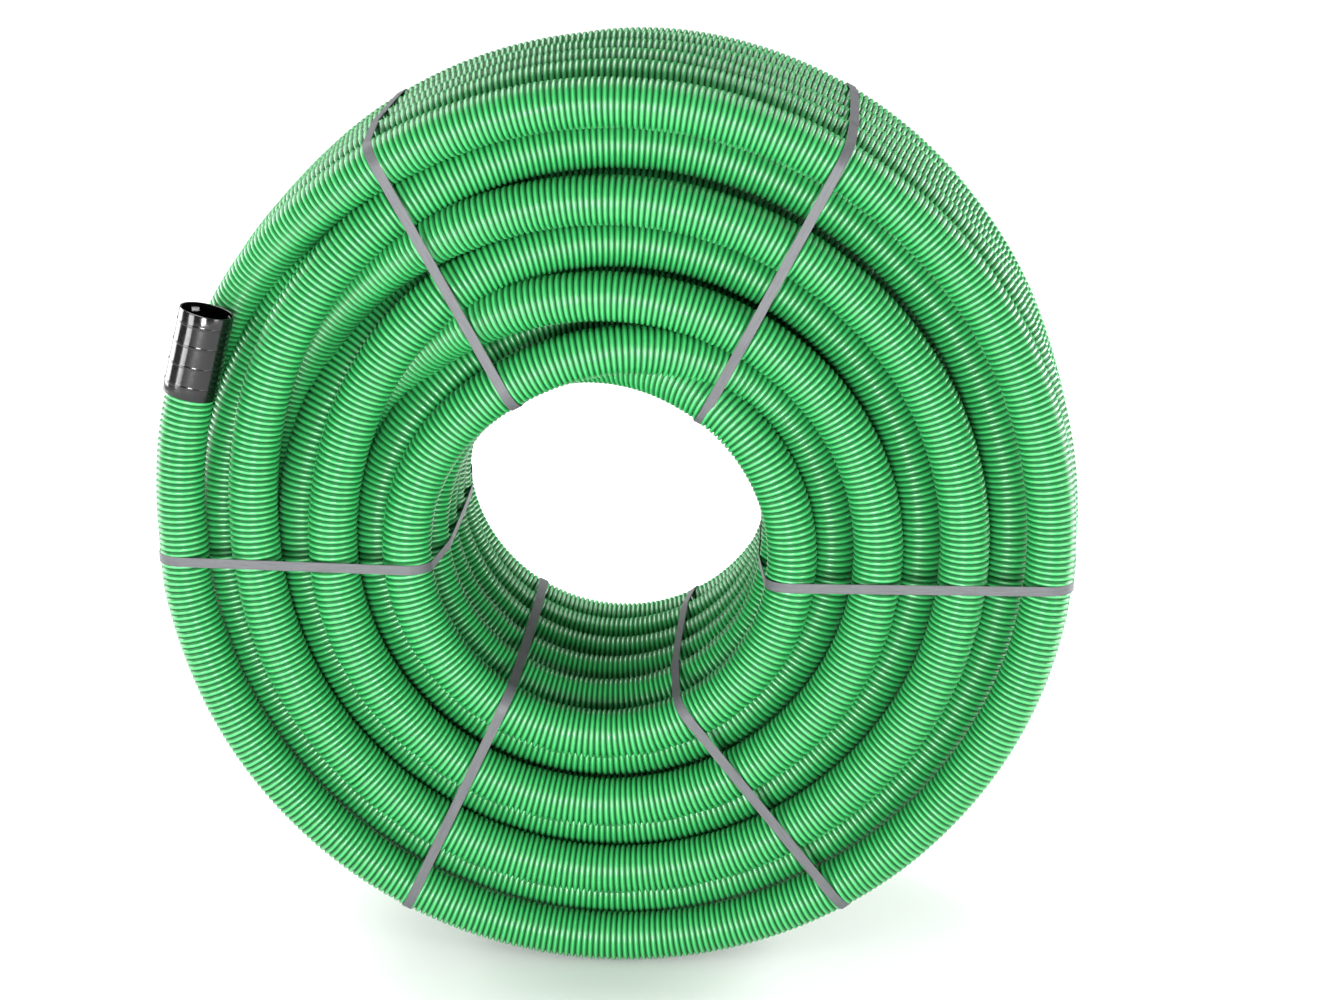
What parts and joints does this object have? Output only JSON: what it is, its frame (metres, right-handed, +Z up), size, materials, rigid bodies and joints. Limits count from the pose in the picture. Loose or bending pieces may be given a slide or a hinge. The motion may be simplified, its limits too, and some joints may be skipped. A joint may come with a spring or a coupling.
{
  "type": "coiled cable duct",
  "caption": "Coil of corrugated plastic cable duct standing on its rim, tied with flat plastic straps, with a push-on coupler sleeve on its free end.",
  "frame": {"origin": "middle of the small flat that the coil rests on, half way through its width", "axes": "+Z up, +Y along the coil's axis towards its back face, +X to the right seen from the front face, where the coupler is"},
  "size_m": [0.7471, 0.316, 0.7433],
  "materials": {
    "duct": "green polyethylene, extruded and corrugated, satin",
    "coupler": "black polypropylene, injection moulded, glossy",
    "strap": "grey polypropylene strapping, embossed, with a silvery sheen"
  },
  "bodies": {
    "coil": {"hose_coil": "duct", "hose_tail": "duct", "strap_1": "strap", "strap_2": "strap", "strap_3": "strap", "strap_4": "strap", "strap_5": "strap", "strap_6": "strap"},
    "sleeve": {"coupler": "coupler"}
  },
  "joints": [
    {"name": "coupler_slide", "type": "slide", "parent": "coil", "child": "sleeve", "axis": [0.2419, 0, 0.9703], "range_m": [0, 0.034]}
  ]
}
